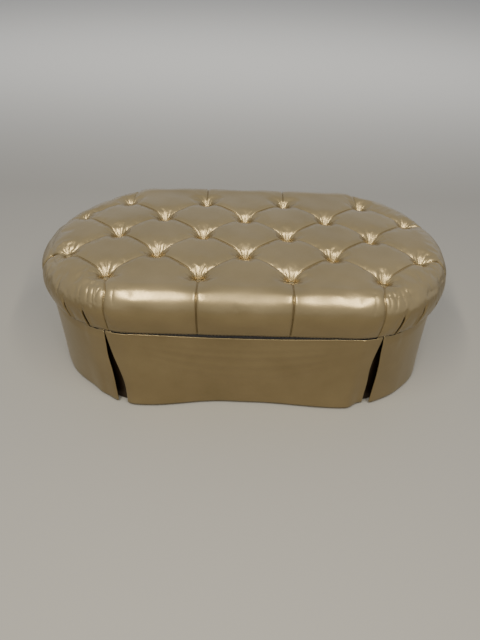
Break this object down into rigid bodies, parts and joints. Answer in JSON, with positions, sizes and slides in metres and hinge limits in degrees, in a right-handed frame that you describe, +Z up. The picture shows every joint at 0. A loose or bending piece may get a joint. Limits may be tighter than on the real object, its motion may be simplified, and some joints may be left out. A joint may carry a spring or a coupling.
{
  "type": "storage ottoman",
  "caption": "Long oval storage ottoman: a thick button-tufted padded lid, hinged at the back with stays, on a box with a tailored skirt to the floor.",
  "frame": {"origin": "on the floor under the middle of the ottoman", "axes": "+X along the length, the front faces -Y and the hinges are on the +Y side, +Z up"},
  "size_m": [1.3338, 0.674, 0.47],
  "materials": {
    "vinyl": "metallic gold-beige upholstery vinyl, semi-gloss with a fine grain",
    "plywood": "unfinished plywood",
    "timber": "planed softwood",
    "foot_wood": "dark stained hardwood",
    "lining_cloth": "black non-woven lining",
    "dust_cloth": "black non-woven dust cover",
    "foam": "open-cell upholstery foam",
    "batting": "polyester batting",
    "twine": "waxed tufting twine",
    "steel": "zinc-plated steel",
    "hinge_brass": "satin brass plate",
    "glide_plastic": "moulded nylon glide",
    "bumper_rubber": "soft black rubber"
  },
  "bodies": {
    "base": {"front_panel": "plywood", "back_panel": "plywood", "left_end_panel": "plywood", "right_end_panel": "plywood", "front_left_post": "timber", "front_right_post": "timber", "back_left_post": "timber", "back_right_post": "timber", "left_end_post": "timber", "right_end_post": "timber", "hinge_rail": "timber", "floor_panel": "plywood", "front_cleat": "timber", "back_cleat": "timber", "front_skirt_batten": "timber", "back_skirt_batten": "timber", "left_skirt_batten": "timber", "right_skirt_batten": "timber", "front_skirt": "vinyl", "back_skirt": "vinyl", "left_skirt": "vinyl", "right_skirt": "vinyl", "front_left_pleat_backing": "vinyl", "front_right_pleat_backing": "vinyl", "back_left_pleat_backing": "vinyl", "back_right_pleat_backing": "vinyl", "rim_cover": "lining_cloth", "wall_lining": "lining_cloth", "floor_lining": "lining_cloth", "bottom_dust_cover": "dust_cloth", "feet": "foot_wood", "foot_bolts": "steel", "foot_glides": "glide_plastic", "rim_bumpers": "bumper_rubber", "left_hinge_base_leaf": "hinge_brass", "middle_hinge_base_leaf": "hinge_brass", "right_hinge_base_leaf": "hinge_brass", "hinge_base_screws": "hinge_brass", "left_stay_plate": "steel", "right_stay_plate": "steel", "stay_plate_screws": "steel", "hinge_pins": "hinge_brass"},
    "lid": {"lid_board": "plywood", "lid_foam": "foam", "lid_batting": "batting", "lid_cover": "vinyl", "lid_lining": "lining_cloth", "tufting_buttons": "vinyl", "button_twines": "twine", "button_washers": "steel", "left_hinge_lid_leaf": "hinge_brass", "middle_hinge_lid_leaf": "hinge_brass", "right_hinge_lid_leaf": "hinge_brass", "hinge_lid_screws": "hinge_brass", "left_lid_bracket": "steel", "right_lid_bracket": "steel", "lid_bracket_screws": "steel"},
    "left_stay": {"left_stay_arm": "steel"},
    "right_stay": {"right_stay_arm": "steel"}
  },
  "joints": [
    {"name": "lid_hinge", "type": "hinge", "parent": "base", "child": "lid", "pos_m": [0, 0.334, 0.328], "axis": [-1, 0, 0], "range_deg": [0, 85]},
    {"name": "left_stay_pivot", "type": "hinge", "parent": "lid", "child": "left_stay", "pos_m": [-0.30675, 0.20456, 0.31599], "axis": [-1, 0, 0], "range_deg": [-42.5, 0]},
    {"name": "right_stay_pivot", "type": "hinge", "parent": "lid", "child": "right_stay", "pos_m": [0.30675, 0.20456, 0.31599], "axis": [-1, 0, 0], "range_deg": [-42.5, 0]}
  ],
  "couplings": [
    {"joint": "left_stay_pivot", "follows": "lid_hinge", "ratio": -0.5},
    {"joint": "right_stay_pivot", "follows": "lid_hinge", "ratio": -0.5}
  ]
}
